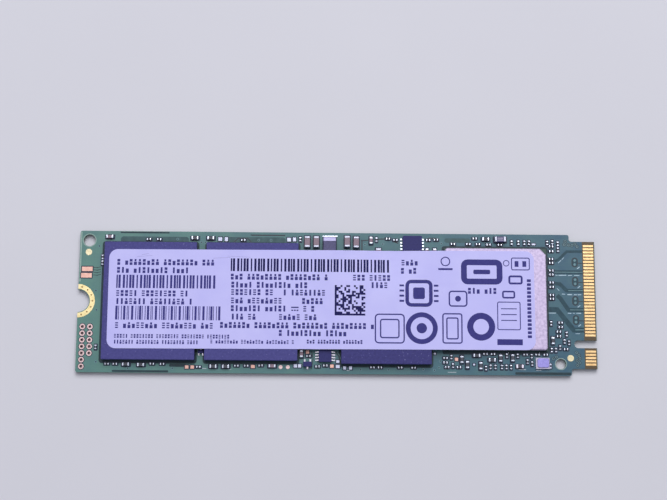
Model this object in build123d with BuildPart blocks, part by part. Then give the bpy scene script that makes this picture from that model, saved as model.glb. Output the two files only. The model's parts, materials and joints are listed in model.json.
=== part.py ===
import os

from build123d import *

os.makedirs("parts", exist_ok=True)

# An M.2 2280 key M solid state drive, one-sided, in millimetres.
# The board lies flat: length along X, contacts at +X, parts on the +Z side.

# circuit board
board_length = 80.0
board_width = 22.0
board_thick = 0.8
tab_start = 36.0
tab_width = 19.85
key_centre_y = -6.125
key_width = 1.2
key_depth = 3.5
mount_radius = 1.75
mount_ring_radius = 2.6
mount_ring_bore = 1.86
edge_chamfer = 0.12
corner_radius = 0.3
tab_corner_radius = 0.4
tooling_holes = [(-38.55, 9.5, 0.93), (34.35, -9.2, 0.8)]

# plating and pads
plate_thick = 0.03
contact_width = 0.32
contact_pitch = 0.5
contact_start = 38.18
contact_end = 39.8
top_contact_y = 9.25
bottom_contact_y = 9.0
fiducial_radius = 0.5
fiducials = [(-38.6, 7.65), (35.87, -8.3)]
test_point_radius = 0.3
test_points = [(-8.65, -10.0), (-7.55, -10.0)]

# plated holes for a service header
header_pitch = 1.02
header_first_y = -4.0
header_columns = [(-39.15, 7), (-38.0, 5)]
header_pad_radius = 0.42
header_drill_radius = 0.31
header_bore_radius = 0.25
sleeve_sides = 8
dot_sides = 16

# packages
ball_height = 0.25
package_top = 2.05
package_foot = board_thick + ball_height
flash_length = 14.2
flash_width = 18.2
flash_left_x = -28.9
flash_right_x = -13.2
dram_length = 13.8
dram_width = 10.6
dram_x = 7.5
dram_y = -4.2
controller_length = 15.8
controller_width = 15.9
controller_x = 24.4
controller_y = 0.68
substrate_thick = 0.3
lid_length = 15.6
lid_width = 15.75
lid_plate = 0.25
lid_rim = 0.9
lid_chamfer = 0.95
lid_corner = 0.4
lid_edge = 0.12
die_size = 8.0

# solder balls: the side of one, then pitch, columns and rows under each package
ball_side = 0.3
flash_ball_grid = (1.0, 13, 17)
dram_ball_grid = (0.8, 16, 12)
controller_ball_grid = (1.0, 15, 15)

# label
label_length = 65.5
label_width = 15.35
label_thick = 0.08
label_x = -2.45
label_y = 0.33
label_tilt = 0.2
label_corner = 1.35

# chip sizes as length, width, height, cap length
size_inductor = (2.5, 1.95, 1.2, 0.45)
size_0603 = (1.7, 0.85, 0.8, 0.3)
size_0402 = (1.05, 0.52, 0.5, 0.24)
size_0201 = (0.62, 0.32, 0.3, 0.16)
body_inset = 0.03

# solder at the foot of an end cap, as reach and rise
fillet_inductor = (0.45, 0.25)
fillet_0603 = (0.14, 0.35)
fillet_0402 = (0.12, 0.26)
fillet_0201 = (0.09, 0.16)

# chip places, x and y of the centre
inductors_along_y = [(-1.28, 8.7)]
caps_0603_along_y = [(-4.75, 9.45), (-3.35, 9.45), (1.45, 9.55), (2.85, 9.45), (6.3, 7.65)]
bead_0603_along_x = [(25.25, 10.1)]
caps_0402_along_x = [(-35.4, 10.05), (-9.95, -9.85)]
caps_0402_along_y = [(5.15, 9.8), (13.85, 8.05), (15.05, 8.05), (-5.5, -7.95)]
resistors_0402_along_x = [
    (-22.2, 9.95), (-19.75, 9.95), (23.0, 10.15), (-32.3, -9.75), (-30.0, -9.8), (-18.95, -10.0),
    (-17.05, -10.0), (21.4, -8.0), (23.75, -8.7),
]
resistors_0402_along_y = [
    (33.15, -5.65), (19.1, -8.65), (19.95, -9.45), (22.0, -9.6), (25.05, -8.4), (26.9, -8.35),
]
chips_0201_along_x = [
    (-29.35, 9.7), (-27.75, 9.7), (-14.7, 9.7), (7.8, 10.1), (8.95, 9.9), (14.05, 9.95), (15.25, 10.0),
    (17.9, 9.35), (20.3, 9.35), (21.8, 9.35), (23.45, 9.3), (25.2, 9.3), (21.3, 10.25),
    (33.15, 7.1), (33.15, 6.5), (33.15, 5.3), (33.15, 4.65),
    (33.15, 3.4), (33.15, 2.7), (33.15, 1.45), (33.15, 0.85),
    (33.2, 9.1), (33.2, 8.35), (34.4, -2.85), (34.4, -3.55), (34.1, -4.25), (34.1, -4.95), (35.15, -6.95),
    (16.6, -8.45), (16.6, -9.15), (16.85, -9.85), (18.65, -9.85), (22.75, -7.75), (23.9, -7.75),
    (28.9, -7.8), (30.75, -7.8), (32.0, -7.8),
    (-35.2, -9.7), (-33.95, -9.7), (-28.3, -9.65), (-26.75, -9.65), (-21.2, -10.1),
    (-15.4, -9.85), (-13.9, -9.85), (-11.7, -9.8), (-4.4, -8.3), (-3.0, -9.9), (-1.8, -9.75),
    (5.4, -9.95), (6.55, -9.95), (9.65, -9.95), (11.7, -9.95),
]
chips_0201_along_y = [
    (-5.85, 9.9), (6.0, 9.95), (27.05, 9.65), (28.1, 9.65), (29.05, 9.65), (29.75, 9.65),
    (32.6, 9.65), (33.4, 9.75), (34.25, 9.55), (34.25, 8.6),
    (32.95, -2.95), (35.3, -4.6), (34.95, -5.75), (35.65, -5.95), (34.25, -6.7), (32.95, -7.1), (33.6, -7.1),
    (17.5, -8.3), (17.75, -9.6), (22.8, -9.95), (23.5, -9.75), (24.25, -9.75), (25.25, -9.75), (25.95, -9.75),
    (26.65, -9.75), (26.05, -8.0), (27.7, -8.0), (29.85, -8.05), (29.2, -8.9), (29.9, -9.2), (-37.0, -7.15),
    (-36.42, 6.85), (-36.42, 5.95),
]

# bare lands, x, y, length, width
land_thick = 0.06
solder_lands = [
    (-18.3, 9.85, 0.6, 0.6), (-17.35, 9.85, 0.5, 0.6), (-7.6, 9.85, 0.6, 0.6), (-6.75, 9.9, 0.5, 0.6),
    (-6.4, -9.8, 0.5, 0.5), (-5.75, -9.8, 0.5, 0.5), (30.5, 9.45, 0.55, 0.25), (21.0, -9.4, 0.3, 0.25),
    (32.75, -9.3, 0.25, 0.25), (32.75, -9.8, 0.25, 0.25), (15.0, -7.75, 0.3, 0.25),
    (0.1, -9.1, 0.5, 0.4), (0.1, -9.85, 0.6, 0.5), (1.15, -10.05, 0.45, 0.5), (2.05, -10.05, 0.45, 0.5),
]
copper_lands = [
    (-38.75, 4.98, 1.65, 0.7), (-38.85, 3.98, 1.65, 0.72), (-23.0, -10.1, 0.55, 0.5), (-22.15, -10.1, 0.55, 0.5),
    (-12.9, -9.95, 0.6, 0.5), (-0.8, -9.8, 0.55, 0.5), (-4.55, -7.65, 0.5, 0.5), (18.3, -8.6, 0.5, 0.5),
]

# small devices
regulator_x = 11.55
regulator_y = 9.0
regulator_size = (3.0, 3.0, 0.8)
regulator_corner = 0.12
regulator_pitch = 0.5
regulator_land = (0.34, 0.26, 0.16)
switch_x = -1.85
switch_y = -8.3
switch_size = (1.95, 1.8, 0.65)
switch_pitch = 0.42
transistor_large = (-4.55, -9.55)
transistor_large_size = (1.3, 0.75, 0.6)
transistor_large_pitch = 0.86
transistor_small = (-20.9, -7.75)
transistor_small_size = (0.9, 0.5, 0.4)
transistor_small_pitch = 0.6

# formed leads: the air below a body, then reach, foot, rise and width of each lead
lead_standoff = 0.06
lead_thick = 0.12
switch_lead = (0.55, 0.3, 0.4, 0.2)
transistor_large_lead = (0.38, 0.18, 0.36, 0.26)
transistor_small_lead = (0.32, 0.14, 0.3, 0.22)

# clock crystal and indicator lamp
crystal_x = 31.5
crystal_y = -9.15
crystal_size = (2.1, 1.7, 0.35)
crystal_lid_size = (1.8, 1.4, 0.15)
crystal_lid_shift = (0.08, 0.05)
crystal_lid_corner = 0.2
crystal_lid_edge = 0.05
lamp_x = 28.0
lamp_y = -9.65
lamp_size = (1.15, 0.55, 0.35)
lamp_cap = 0.3

low = (Align.CENTER, Align.CENTER, Align.MIN)
half_board = board_length / 2
top = board_thick
header_holes = [
    (column_x, header_first_y - header_pitch * step)
    for column_x, count in header_columns
    for step in range(count)
]
contact_x = (contact_start + contact_end) / 2
contact_length = contact_end - contact_start
top_contacts = [
    (contact_x, top_contact_y - contact_pitch * step) for step in range(38) if step < 29 or step > 32
]
bottom_contacts = [
    (contact_x, bottom_contact_y - contact_pitch * step) for step in range(37) if step < 29 or step > 32
]


def along(places, turn):
    return [Location((x, y, top), (0, 0, turn)) for x, y in places]


def rim(x, y, pitch, columns, rows):
    spots = []
    for i in range(columns):
        for j in range(rows):
            if i in (0, columns - 1) or j in (0, rows - 1):
                spots.append((x + (i - (columns - 1) / 2) * pitch, y + (j - (rows - 1) / 2) * pitch, top))
    return spots


# board with key notch, half hole for the screw, holes and flush seats for the plating below
with BuildPart() as circuit_board:
    with BuildSketch():
        with BuildLine():
            Polyline(
                (-half_board, -board_width / 2),
                (tab_start, -board_width / 2),
                (tab_start, -tab_width / 2),
                (half_board, -tab_width / 2),
                (half_board, tab_width / 2),
                (tab_start, tab_width / 2),
                (tab_start, board_width / 2),
                (-half_board, board_width / 2),
                close=True,
            )
        make_face()
    extrude(amount=board_thick)
    upright = circuit_board.edges().filter_by(Axis.Z)
    inner = upright.filter_by(lambda e: abs(e.center().X - tab_start) < 0.01 and abs(e.center().Y) < 10.5)
    outer = upright.filter_by(lambda e: abs(abs(e.center().Y) - board_width / 2) < 0.01)
    fillet(inner, tab_corner_radius)
    fillet(outer, corner_radius)
    nose = circuit_board.edges().filter_by(Axis.Y).group_by(Axis.X)[-1]
    chamfer(nose, edge_chamfer)
    with BuildSketch():
        with Locations((-half_board, 0)):
            Circle(mount_radius)
        with Locations((half_board - key_depth + key_width / 2, key_centre_y)):
            Circle(key_width / 2)
        with Locations((half_board - key_depth / 2 + key_width / 4 + 0.5, key_centre_y)):
            Rectangle(key_depth - key_width / 2 + 1.0, key_width)
        for hole_x, hole_y, hole_radius in tooling_holes:
            with Locations((hole_x, hole_y)):
                Circle(hole_radius)
        with Locations(*header_holes):
            RegularPolygon(header_drill_radius, sleeve_sides)
    extrude(amount=board_thick, mode=Mode.SUBTRACT)
    with BuildSketch():
        with Locations(*bottom_contacts):
            Rectangle(contact_length, contact_width)
        with Locations((-half_board, 0)):
            Circle(mount_ring_radius)
            Circle(mount_ring_bore, mode=Mode.SUBTRACT)
        with Locations(*header_holes):
            RegularPolygon(header_pad_radius, sleeve_sides)
    extrude(amount=plate_thick, mode=Mode.SUBTRACT)
circuit_board.part.label = "circuit_board"
export_step(circuit_board.part, "parts/circuit_board.step")

# gold edge contacts
with BuildPart() as edge_contacts_top:
    with Locations(*[(x, y, top) for x, y in top_contacts]):
        Box(contact_length, contact_width, plate_thick, align=low)
edge_contacts_top.part.label = "edge_contacts_top"
export_step(edge_contacts_top.part, "parts/edge_contacts_top.step")

with BuildPart() as edge_contacts_bottom:
    with Locations(*bottom_contacts):
        Box(contact_length, contact_width, plate_thick, align=low)
edge_contacts_bottom.part.label = "edge_contacts_bottom"
export_step(edge_contacts_bottom.part, "parts/edge_contacts_bottom.step")

# gold screw ring on each face
with BuildPart() as mount_rings:
    for ring_z in (0, board_thick):
        with BuildSketch(Plane.XY.offset(ring_z)):
            with Locations((-half_board, 0)):
                Circle(mount_ring_radius)
                Circle(mount_ring_bore, mode=Mode.SUBTRACT)
            with Locations((-half_board - mount_ring_radius, 0)):
                Rectangle(2 * mount_ring_radius, 3 * mount_ring_radius, mode=Mode.SUBTRACT)
        extrude(amount=plate_thick)
mount_rings.part.label = "mount_rings"
export_step(mount_rings.part, "parts/mount_rings.step")

# tinned sleeves of the service header, a pad on each face
with BuildPart() as header_sleeves:
    with BuildSketch():
        with Locations(*header_holes):
            RegularPolygon(header_pad_radius, sleeve_sides)
            RegularPolygon(header_bore_radius, sleeve_sides, mode=Mode.SUBTRACT)
    extrude(amount=plate_thick)
    with BuildSketch():
        with Locations(*header_holes):
            RegularPolygon(header_drill_radius, sleeve_sides)
            RegularPolygon(header_bore_radius, sleeve_sides, mode=Mode.SUBTRACT)
    extrude(amount=board_thick)
    with BuildSketch(Plane.XY.offset(board_thick)):
        with Locations(*header_holes):
            RegularPolygon(header_pad_radius, sleeve_sides)
            RegularPolygon(header_bore_radius, sleeve_sides, mode=Mode.SUBTRACT)
    extrude(amount=plate_thick)
header_sleeves.part.label = "header_sleeves"
export_step(header_sleeves.part, "parts/header_sleeves.step")

# round gold marks
with BuildPart() as gold_dots:
    with BuildSketch(Plane.XY.offset(board_thick)):
        with Locations(*fiducials):
            RegularPolygon(fiducial_radius, dot_sides)
        with Locations(*test_points):
            RegularPolygon(test_point_radius, dot_sides)
    extrude(amount=plate_thick)
gold_dots.part.label = "gold_dots"
export_step(gold_dots.part, "parts/gold_dots.step")

# bare lands
with BuildPart() as copper_pads:
    for land_x, land_y, land_length, land_width in copper_lands:
        with Locations((land_x, land_y, top)):
            Box(land_length, land_width, plate_thick, align=low)
copper_pads.part.label = "copper_pads"
export_step(copper_pads.part, "parts/copper_pads.step")

with BuildPart() as solder_pads:
    for land_x, land_y, land_length, land_width in solder_lands:
        with Locations((land_x, land_y, top)):
            Box(land_length, land_width, land_thick, align=low)
solder_pads.part.label = "solder_pads"
export_step(solder_pads.part, "parts/solder_pads.step")

# two flash memories
package_height = package_top - package_foot
with BuildPart() as flash_left:
    with Locations((flash_left_x, 0, package_foot)):
        Box(flash_length, flash_width, package_height, align=low)
flash_left.part.label = "flash_left"
export_step(flash_left.part, "parts/flash_left.step")

with BuildPart() as flash_right:
    with Locations((flash_right_x, 0, package_foot)):
        Box(flash_length, flash_width, package_height, align=low)
flash_right.part.label = "flash_right"
export_step(flash_right.part, "parts/flash_right.step")

# cache memory
with BuildPart() as cache_memory:
    with Locations((dram_x, dram_y, package_foot)):
        Box(dram_length, dram_width, package_height, align=low)
cache_memory.part.label = "cache_memory"
export_step(cache_memory.part, "parts/cache_memory.step")

# controller: carrier, die and metal lid
lid_foot = package_foot + substrate_thick
lid_height = package_top - lid_foot
with BuildPart() as controller_carrier:
    with Locations((controller_x, controller_y, package_foot)):
        Box(controller_length, controller_width, substrate_thick, align=low)
controller_carrier.part.label = "controller_carrier"
export_step(controller_carrier.part, "parts/controller_carrier.step")

with BuildPart() as controller_die:
    with Locations((controller_x, controller_y, lid_foot)):
        Box(die_size, die_size, lid_height - lid_plate, align=low)
controller_die.part.label = "controller_die"
export_step(controller_die.part, "parts/controller_die.step")

with BuildPart() as controller_lid:
    with Locations((controller_x, controller_y, lid_foot)):
        Box(lid_length, lid_width, lid_height, align=low)
    posts = controller_lid.edges().filter_by(Axis.Z).sort_by(lambda e: e.center().X + e.center().Y)
    chamfer(posts[-1], lid_chamfer)
    posts = controller_lid.edges().filter_by(Axis.Z).sort_by(lambda e: e.center().X + e.center().Y)
    fillet(posts[:3], lid_corner)
    chamfer(controller_lid.faces().sort_by(Axis.Z)[-1].edges(), lid_edge)
    with Locations((controller_x, controller_y, lid_foot)):
        Box(
            lid_length - 2 * lid_rim,
            lid_width - 2 * lid_rim,
            lid_height - lid_plate,
            align=low,
            mode=Mode.SUBTRACT,
        )
controller_lid.part.label = "controller_lid"
export_step(controller_lid.part, "parts/controller_lid.step")

# solder balls, the outer row of each package
with BuildPart() as flash_balls:
    for package_x in (flash_left_x, flash_right_x):
        with Locations(*rim(package_x, 0, *flash_ball_grid)):
            Box(ball_side, ball_side, ball_height, align=low)
flash_balls.part.label = "flash_balls"
export_step(flash_balls.part, "parts/flash_balls.step")

with BuildPart() as cache_balls:
    with Locations(*rim(dram_x, dram_y, *dram_ball_grid)):
        Box(ball_side, ball_side, ball_height, align=low)
cache_balls.part.label = "cache_balls"
export_step(cache_balls.part, "parts/cache_balls.step")

with BuildPart() as controller_balls:
    with Locations(*rim(controller_x, controller_y, *controller_ball_grid)):
        Box(ball_side, ball_side, ball_height, align=low)
controller_balls.part.label = "controller_balls"
export_step(controller_balls.part, "parts/controller_balls.step")

# ceramic chips with tinned end caps, each cap with the solder at its foot


def soldered_cap(size, joint):
    length, width, height, cap = size
    reach, rise = joint
    with BuildPart() as end_cap:
        with BuildSketch(Plane.XZ):
            with BuildLine():
                Polyline(
                    (length / 2 - cap, 0),
                    (length / 2 + reach, 0),
                    (length / 2, rise),
                    (length / 2, height),
                    (length / 2 - cap, height),
                    close=True,
                )
            make_face()
        extrude(amount=width / 2, both=True)
    return end_cap.part


def chip_bodies(size, places_x, places_y):
    length, width, height, cap = size
    with Locations(*along(places_x, 0), *along(places_y, 90)):
        Box(length - 2 * cap, width - body_inset, height - body_inset, align=low)


def chip_ends(size, joint, places_x, places_y):
    end_cap = soldered_cap(size, joint)
    for turn in (0, 180):
        with Locations(*along(places_x, turn), *along(places_y, 90 + turn)):
            add(end_cap)


chips_0402_x = caps_0402_along_x + resistors_0402_along_x
chips_0402_y = caps_0402_along_y + resistors_0402_along_y

with BuildPart() as capacitors_0603:
    chip_bodies(size_0603, [], caps_0603_along_y)
capacitors_0603.part.label = "capacitors_0603"
export_step(capacitors_0603.part, "parts/capacitors_0603.step")

with BuildPart() as ferrite_bead:
    chip_bodies(size_0603, bead_0603_along_x, [])
ferrite_bead.part.label = "ferrite_bead"
export_step(ferrite_bead.part, "parts/ferrite_bead.step")

with BuildPart() as end_caps_0603:
    chip_ends(size_0603, fillet_0603, bead_0603_along_x, caps_0603_along_y)
end_caps_0603.part.label = "end_caps_0603"
export_step(end_caps_0603.part, "parts/end_caps_0603.step")

with BuildPart() as capacitors_0402:
    chip_bodies(size_0402, caps_0402_along_x, caps_0402_along_y)
capacitors_0402.part.label = "capacitors_0402"
export_step(capacitors_0402.part, "parts/capacitors_0402.step")

with BuildPart() as resistors_0402:
    chip_bodies(size_0402, resistors_0402_along_x, resistors_0402_along_y)
resistors_0402.part.label = "resistors_0402"
export_step(resistors_0402.part, "parts/resistors_0402.step")

with BuildPart() as end_caps_0402:
    chip_ends(size_0402, fillet_0402, chips_0402_x, chips_0402_y)
end_caps_0402.part.label = "end_caps_0402"
export_step(end_caps_0402.part, "parts/end_caps_0402.step")

with BuildPart() as chips_0201:
    chip_bodies(size_0201, chips_0201_along_x, chips_0201_along_y)
chips_0201.part.label = "chips_0201"
export_step(chips_0201.part, "parts/chips_0201.step")

with BuildPart() as end_caps_0201:
    chip_ends(size_0201, fillet_0201, chips_0201_along_x, chips_0201_along_y)
end_caps_0201.part.label = "end_caps_0201"
export_step(end_caps_0201.part, "parts/end_caps_0201.step")

# power inductor
with BuildPart() as inductor_core:
    chip_bodies(size_inductor, [], inductors_along_y)
inductor_core.part.label = "inductor_core"
export_step(inductor_core.part, "parts/inductor_core.step")

with BuildPart() as inductor_caps:
    chip_ends(size_inductor, fillet_inductor, [], inductors_along_y)
inductor_caps.part.label = "inductor_caps"
export_step(inductor_caps.part, "parts/inductor_caps.step")

# voltage regulator with ten lands
length, width, height = regulator_size
with BuildPart() as regulator_body:
    with Locations((regulator_x, regulator_y, top)):
        Box(length, width, height, align=low)
    chamfer(regulator_body.edges().filter_by(Axis.Z), regulator_corner)
regulator_body.part.label = "regulator_body"
export_step(regulator_body.part, "parts/regulator_body.step")

with BuildPart() as regulator_lands:
    for side in (-1, 1):
        land_x = regulator_x + side * (length + regulator_land[0]) / 2
        for step in range(-2, 3):
            with Locations((land_x, regulator_y + step * regulator_pitch, top)):
                Box(*regulator_land, align=low)
regulator_lands.part.label = "regulator_lands"
export_step(regulator_lands.part, "parts/regulator_lands.step")

# load switch with eight formed leads
length, width, height = switch_size
with BuildPart() as switch_body:
    with Locations((switch_x, switch_y, top + lead_standoff)):
        Box(length, width, height, align=low)
switch_body.part.label = "switch_body"
export_step(switch_body.part, "parts/switch_body.step")


def formed_lead(reach, foot, rise, wide):
    with BuildPart() as lead:
        with BuildSketch(Plane.XZ):
            with BuildLine():
                Polyline(
                    (0, rise),
                    (0, rise - lead_thick),
                    (reach - foot - lead_thick, rise - lead_thick),
                    (reach - foot - lead_thick, 0),
                    (reach, 0),
                    (reach, lead_thick),
                    (reach - foot, lead_thick),
                    (reach - foot, rise),
                    close=True,
                )
            make_face()
        extrude(amount=wide / 2, both=True)
    return lead.part


with BuildPart() as switch_leads:
    lead = formed_lead(*switch_lead)
    for step in range(4):
        lead_y = switch_y + (step - 1.5) * switch_pitch
        with Locations(
            Location((switch_x + length / 2, lead_y, top), (0, 0, 0)),
            Location((switch_x - length / 2, lead_y, top), (0, 0, 180)),
        ):
            add(lead)
switch_leads.part.label = "switch_leads"
export_step(switch_leads.part, "parts/switch_leads.step")

# two small transistors with three formed leads each
with BuildPart() as transistors:
    with Locations((*transistor_large, top + lead_standoff)):
        Box(*transistor_large_size, align=low)
    with Locations((*transistor_small, top + lead_standoff)):
        Box(*transistor_small_size, align=low)
transistors.part.label = "transistors"
export_step(transistors.part, "parts/transistors.step")



def three_leads(place, size, pitch, pair_turn):
    """Places for a pair of leads on one long side and a single one on the other."""
    side = size[1] / 2 if pair_turn > 0 else -size[1] / 2
    return [
        Location((place[0] - pitch / 2, place[1] + side, top), (0, 0, pair_turn)),
        Location((place[0] + pitch / 2, place[1] + side, top), (0, 0, pair_turn)),
        Location((place[0], place[1] - side, top), (0, 0, -pair_turn)),
    ]


with BuildPart() as transistor_leads:
    large = formed_lead(*transistor_large_lead)
    small = formed_lead(*transistor_small_lead)
    with Locations(*three_leads(transistor_large, transistor_large_size, transistor_large_pitch, 90)):
        add(large)
    with Locations(*three_leads(transistor_small, transistor_small_size, transistor_small_pitch, -90)):
        add(small)
transistor_leads.part.label = "transistor_leads"
export_step(transistor_leads.part, "parts/transistor_leads.step")

# clock crystal in a ceramic tray with a metal lid
length, width, height = crystal_size
with BuildPart() as crystal_base:
    with Locations((crystal_x, crystal_y, top)):
        Box(length, width, height, align=low)
crystal_base.part.label = "crystal_base"
export_step(crystal_base.part, "parts/crystal_base.step")

with BuildPart() as crystal_lid:
    with Locations((crystal_x + crystal_lid_shift[0], crystal_y + crystal_lid_shift[1], top + height)):
        Box(*crystal_lid_size, align=low)
    chamfer(crystal_lid.edges().filter_by(Axis.Z), crystal_lid_corner)
    chamfer(crystal_lid.faces().sort_by(Axis.Z)[-1].edges(), crystal_lid_edge)
crystal_lid.part.label = "crystal_lid"
export_step(crystal_lid.part, "parts/crystal_lid.step")

# indicator lamp
length, width, height = lamp_size
with BuildPart() as lamp_body:
    with Locations((lamp_x, lamp_y, top)):
        Box(length - 2 * lamp_cap, width - body_inset, height - body_inset, align=low)
lamp_body.part.label = "lamp_body"
export_step(lamp_body.part, "parts/lamp_body.step")

with BuildPart() as lamp_caps:
    for side in (-1, 1):
        with Locations((lamp_x + side * (length - lamp_cap) / 2, lamp_y, top)):
            Box(lamp_cap, width, height, align=low)
lamp_caps.part.label = "lamp_caps"
export_step(lamp_caps.part, "parts/lamp_caps.step")

# paper label glued over the packages
with BuildPart() as label:
    with BuildSketch(Plane.XY.offset(package_top)):
        with Locations(Location((label_x, label_y, 0), (0, 0, label_tilt))):
            RectangleRounded(label_length, label_width, label_corner)
    extrude(amount=label_thick)
label.part.label = "label"
export_step(label.part, "parts/label.step")
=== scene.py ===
import json
import math

import bpy
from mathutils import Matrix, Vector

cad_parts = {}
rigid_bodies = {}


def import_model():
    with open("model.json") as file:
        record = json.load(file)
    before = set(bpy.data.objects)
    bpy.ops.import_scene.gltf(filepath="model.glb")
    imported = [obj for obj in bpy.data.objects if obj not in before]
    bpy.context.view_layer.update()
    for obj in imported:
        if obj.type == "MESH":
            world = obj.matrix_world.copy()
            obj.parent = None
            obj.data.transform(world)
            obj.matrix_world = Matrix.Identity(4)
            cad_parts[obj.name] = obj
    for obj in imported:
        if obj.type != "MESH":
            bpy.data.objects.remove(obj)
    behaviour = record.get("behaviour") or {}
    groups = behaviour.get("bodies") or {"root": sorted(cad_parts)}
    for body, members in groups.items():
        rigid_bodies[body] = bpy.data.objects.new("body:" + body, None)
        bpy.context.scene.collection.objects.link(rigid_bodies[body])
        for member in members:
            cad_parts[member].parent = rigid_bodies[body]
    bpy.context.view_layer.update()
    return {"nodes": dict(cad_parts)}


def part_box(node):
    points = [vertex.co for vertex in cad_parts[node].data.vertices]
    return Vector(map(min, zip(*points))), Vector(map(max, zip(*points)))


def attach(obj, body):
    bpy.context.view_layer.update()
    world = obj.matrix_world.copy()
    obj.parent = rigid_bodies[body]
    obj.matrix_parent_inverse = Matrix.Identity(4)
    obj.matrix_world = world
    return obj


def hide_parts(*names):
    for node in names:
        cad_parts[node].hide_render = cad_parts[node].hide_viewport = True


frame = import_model()

# An M.2 solid state drive that lies on a table, dressed in its real finishes.
# Sizes and places are in millimetres, in the drive's own frame, and become metres where a mesh is made.
MM = 0.001
X, Y, Z = 0, 1, 2


def span(node, axis):
    """Where a node starts and ends along an axis, to the nearest thousandth."""
    low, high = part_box(node)
    return round(low[axis] / MM, 3), round(high[axis] / MM, 3)


BOARD_LEFT, BOARD_RIGHT = span("circuit_board", X)
BOARD_TOP = span("circuit_board", Z)[1]
PLATING_TOP = span("mount_rings", Z)[1]
BEAD_TOP = span("ferrite_bead", Z)[1]
LABEL_TOP = span("label", Z)[1]
# the mask ends a little before the contacts
MASK_SETBACK = 0.13
MASK_END = span("edge_contacts_top", X)[0] - MASK_SETBACK


# how a finish is made

# places of the sockets on a Mix node: its two colours and the colour it gives, then its two plain values
COLOUR_A, COLOUR_B, COLOUR_OUT = 6, 7, 2
VALUE_A, VALUE_B = 2, 3
# most of a noise pattern lies between these levels
CLOUD_LOW, CLOUD_HIGH = 0.3, 0.7
# a wave pattern of scale 1 repeats after this length
WAVE_REPEAT = math.pi / 10


def linear(hex_code):
    """The linear colour of an sRGB hex value."""
    parts = [int(hex_code[i:i + 2], 16) / 255 for i in (1, 3, 5)]
    return [p / 12.92 if p <= 0.04045 else ((p + 0.055) / 1.055) ** 2.4 for p in parts] + [1.0]


def set_inputs(owner, node, inputs):
    """Links each input that is given a socket, and sets each that is given a value."""
    for key, value in inputs.items():
        if isinstance(value, bpy.types.NodeSocket):
            owner.node_tree.links.new(value, node.inputs[key])
        else:
            node.inputs[key].default_value = value


def add_node(owner, kind, inputs, **settings):
    """Adds a node to a material or to the world, with its settings and its inputs."""
    node = owner.node_tree.nodes.new(kind)
    for name, value in settings.items():
        setattr(node, name, value)
    set_inputs(owner, node, inputs)
    return node


def plain_finish(name, colour, roughness, metallic=0.0, specular=0.5):
    """A material of one even colour, and its shader."""
    mat = bpy.data.materials.new(name)
    mat.use_nodes = True
    shader = mat.node_tree.nodes["Principled BSDF"]
    look = {"Base Color": linear(colour), "Roughness": roughness, "Metallic": metallic}
    set_inputs(mat, shader, {**look, "Specular IOR Level": specular})
    return mat, shader


def place(owner):
    """Where a point lies on the drive, in millimetres."""
    spot = add_node(owner, "ShaderNodeTexCoord", {})
    return add_node(
        owner, "ShaderNodeVectorMath", {0: spot.outputs["Object"], "Scale": 1 / MM}, operation="SCALE",
    ).outputs[0]


def two_tones(mat, pattern, first, second, low=CLOUD_LOW, high=CLOUD_HIGH):
    """The colour that goes from the first tone to the second while a pattern goes from low to high."""
    share = add_node(mat, "ShaderNodeMapRange", {"Value": pattern, "From Min": low, "From Max": high})
    return add_node(
        mat, "ShaderNodeMix",
        {"Factor": share.outputs["Result"], COLOUR_A: linear(first), COLOUR_B: linear(second)},
        data_type="RGBA",
    ).outputs[COLOUR_OUT]


def cloudy_finish(name, light, dark, grain, roughness, metallic=0.0, specular=0.5, bump=0.0, wear=0.0):
    """A surface that clouds between two tones. The grain is the size of the clouds and the bump their depth.
    Wear makes the surface that much smoother in some clouds and rougher in others."""
    mat, shader = plain_finish(name, light, roughness, metallic, specular)
    noise = add_node(mat, "ShaderNodeTexNoise", {"Vector": place(mat), "Scale": 1 / grain, "Detail": 4.0})
    clouds = noise.outputs["Fac"]
    set_inputs(mat, shader, {"Base Color": two_tones(mat, clouds, dark, light)})
    if bump:
        lift = add_node(mat, "ShaderNodeBump", {"Height": clouds, "Strength": 0.5, "Distance": bump * MM})
        set_inputs(mat, shader, {"Normal": lift.outputs["Normal"]})
    if wear:
        worn = add_node(
            mat, "ShaderNodeMapRange",
            {"Value": clouds, "To Min": roughness - wear, "To Max": roughness + wear},
        )
        set_inputs(mat, shader, {"Roughness": worn.outputs["Result"]})
    return mat


# finishes of the board
# The camera sees about six pixels to the millimetre. Grit and crystals are a few hundredths of a millimetre
# or less, so where a comment says drawn coarse the grain is 0.1 to 0.4 mm instead, and shows.

MASK_PATCH = 2.4
GLASS_BUNDLE = 0.45
GLASS_PLY = 0.131
WEAVE_DEPTH = 0.012
# a face whose normal has less than this upright share is a cut side
SIDE_LEAN = 0.85


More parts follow.
